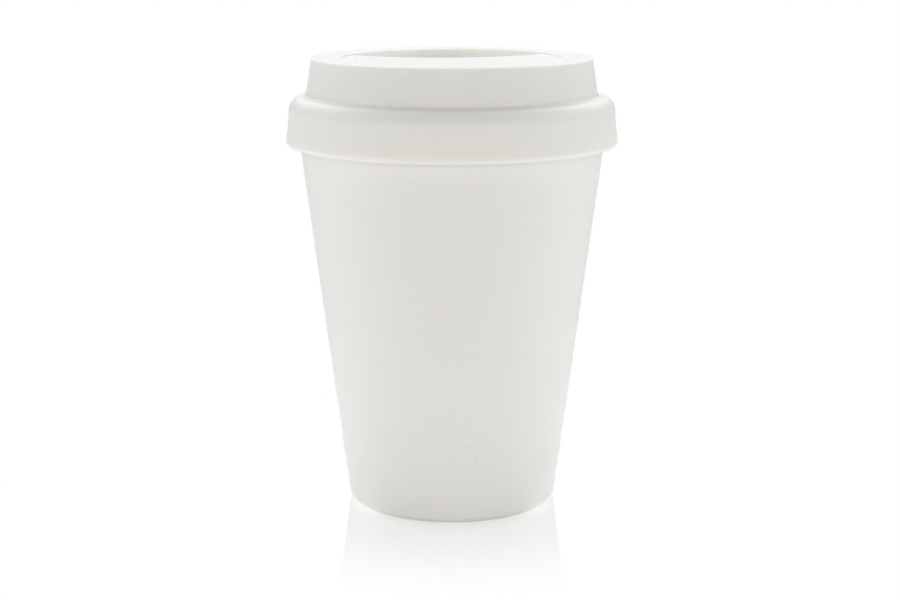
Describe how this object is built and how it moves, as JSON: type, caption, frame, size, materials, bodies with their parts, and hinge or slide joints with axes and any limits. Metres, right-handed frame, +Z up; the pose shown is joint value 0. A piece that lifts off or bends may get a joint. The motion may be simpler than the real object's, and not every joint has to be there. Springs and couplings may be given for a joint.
{
  "type": "reusable coffee cup",
  "caption": "Tapered moulded coffee cup with a push-on lid that lifts off; the lid has a raised crown, a recessed top, a drinking slot and a skirt over the rim.",
  "frame": {"origin": "centre of the surface that the cup stands on", "axes": "+Z up along the axis of the cup, +Y towards the drinking side of the lid"},
  "size_m": [0.092, 0.092, 0.1256],
  "materials": {
    "cup_plastic": "matte",
    "lid_plastic": "matte"
  },
  "bodies": {
    "cup": {"cup": "cup_plastic"},
    "lid": {"lid": "lid_plastic"}
  },
  "joints": [
    {"name": "lid_lift", "type": "slide", "parent": "cup", "child": "lid", "axis": [0, 0, 1], "range_m": [0, 0.04]}
  ]
}
